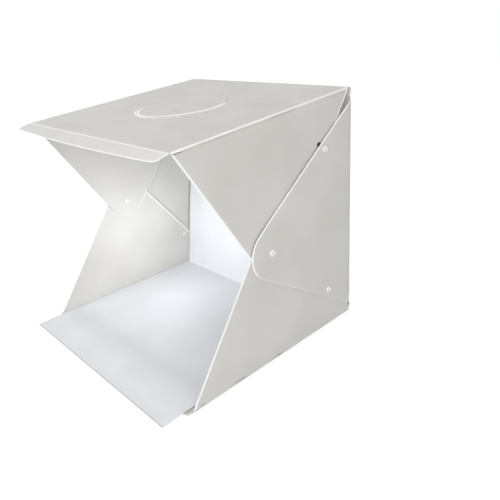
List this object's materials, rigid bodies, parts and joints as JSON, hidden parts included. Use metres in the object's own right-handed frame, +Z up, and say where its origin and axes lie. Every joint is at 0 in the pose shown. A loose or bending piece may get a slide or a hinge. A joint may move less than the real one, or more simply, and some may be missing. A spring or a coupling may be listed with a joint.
{
  "type": "light tent cube",
  "caption": "Folding photo light tent of creased white sheet plastic, with snapped side flaps, a round shooting hatch in the top, a light bar and a sweeping backdrop.",
  "frame": {"origin": "on the table, under the middle of the tent's bounding box", "axes": "+X to the tent's right as seen from its open front, +Y from the open front to the back, +Z up"},
  "size_m": [0.425, 0.43, 0.42],
  "materials": {
    "panel": "white polypropylene sheet with a fine satin grain",
    "snap": "moulded white, half gloss",
    "grommet": "matte black",
    "backdrop": "matte white vinyl sheet",
    "hook_and_loop": "white hook and loop pile",
    "bar_alloy": "satin anodised",
    "light_board": "white solder mask with pale yellow chips",
    "frosted_cover": "frosted",
    "bar_end": "moulded dark grey"
  },
  "bodies": {
    "base": {"base_panel": "panel", "back_panel": "panel", "backdrop_hook_pad_right": "hook_and_loop", "backdrop_hook_pad_left": "hook_and_loop"},
    "top": {"top_panel": "panel", "lamp_hook_pad_right": "hook_and_loop", "lamp_hook_pad_left": "hook_and_loop", "lamp_loop_pad_right": "hook_and_loop", "lamp_loop_pad_left": "hook_and_loop", "lamp_channel": "bar_alloy", "lamp_board": "light_board", "lamp_diffuser": "frosted_cover", "lamp_end_right": "bar_end", "lamp_end_left": "bar_end", "lamp_inlet": "bar_end"},
    "lip": {"top_lip": "panel"},
    "hatch": {"hatch_flap": "panel"},
    "upper_right": {"upper_flap_right": "panel", "snap_stud_middle_right": "snap", "snap_stud_high_right": "snap", "cable_grommet": "grommet"},
    "upper_left": {"upper_flap_left": "panel", "snap_stud_middle_left": "snap", "snap_stud_high_left": "snap"},
    "lower_right": {"lower_flap_right": "panel", "snap_stud_low_right": "snap"},
    "lower_left": {"lower_flap_left": "panel", "snap_stud_low_left": "snap"},
    "rear_right": {"rear_flap_right": "panel", "snap_cap_middle_right": "snap", "snap_cap_high_right": "snap", "snap_cap_low_right": "snap", "snap_socket_middle_right": "snap", "snap_socket_high_right": "snap", "snap_socket_low_right": "snap"},
    "rear_left": {"rear_flap_left": "panel", "snap_cap_middle_left": "snap", "snap_cap_high_left": "snap", "snap_cap_low_left": "snap", "snap_socket_middle_left": "snap", "snap_socket_high_left": "snap", "snap_socket_low_left": "snap"},
    "backdrop": {"backdrop_sheet": "backdrop", "backdrop_loop_pad_right": "hook_and_loop", "backdrop_loop_pad_left": "hook_and_loop"}
  },
  "joints": [
    {"name": "top_fold", "type": "hinge", "parent": "base", "child": "top", "pos_m": [0, 0.20625, 0.41916], "axis": [1, 0, 0], "range_deg": [0, 55]},
    {"name": "upper_fold_right", "type": "hinge", "parent": "top", "child": "upper_right", "pos_m": [0.2049, -0.16142, 0.3807], "axis": [0, 0.9946, 0.104], "range_deg": [0, 88]},
    {"name": "upper_fold_left", "type": "hinge", "parent": "top", "child": "upper_left", "pos_m": [-0.2049, -0.16142, 0.3807], "axis": [0, -0.9946, -0.104], "range_deg": [0, 76.6]},
    {"name": "lip_fold", "type": "hinge", "parent": "top", "child": "lip", "pos_m": [0, -0.16142, 0.3807], "axis": [1, 0, 0], "range_deg": [-9, 75]},
    {"name": "hatch_open", "type": "hinge", "parent": "top", "child": "hatch", "pos_m": [0, 0.08769, 0.40756], "axis": [-1, 0, 0], "range_deg": [-1.5, 110]},
    {"name": "rear_open_right", "type": "hinge", "parent": "base", "child": "rear_right", "pos_m": [0.202, 0.215, 0], "axis": [0, 0, 1], "range_deg": [0, 160]},
    {"name": "rear_open_left", "type": "hinge", "parent": "base", "child": "rear_left", "pos_m": [-0.202, 0.215, 0], "axis": [0, 0, -1], "range_deg": [0, 160]},
    {"name": "lower_open_right", "type": "hinge", "parent": "base", "child": "lower_right", "pos_m": [0.2083, -0.168, 0.0008], "axis": [0, 1, 0], "range_deg": [0, 88]},
    {"name": "lower_open_left", "type": "hinge", "parent": "base", "child": "lower_left", "pos_m": [-0.2083, -0.168, 0.0008], "axis": [0, -1, 0], "range_deg": [0, 88]},
    {"name": "backdrop_slide", "type": "slide", "parent": "base", "child": "backdrop", "axis": [0, -1, 0], "range_m": [0, 0.45]}
  ],
  "couplings": [
    {"joint": "upper_fold_right", "follows": "top_fold", "ratio": 1.6},
    {"joint": "upper_fold_left", "follows": "top_fold", "ratio": 1.392},
    {"joint": "lower_open_right", "follows": "rear_open_right", "ratio": 0.55},
    {"joint": "lower_open_left", "follows": "rear_open_left", "ratio": 0.55}
  ]
}
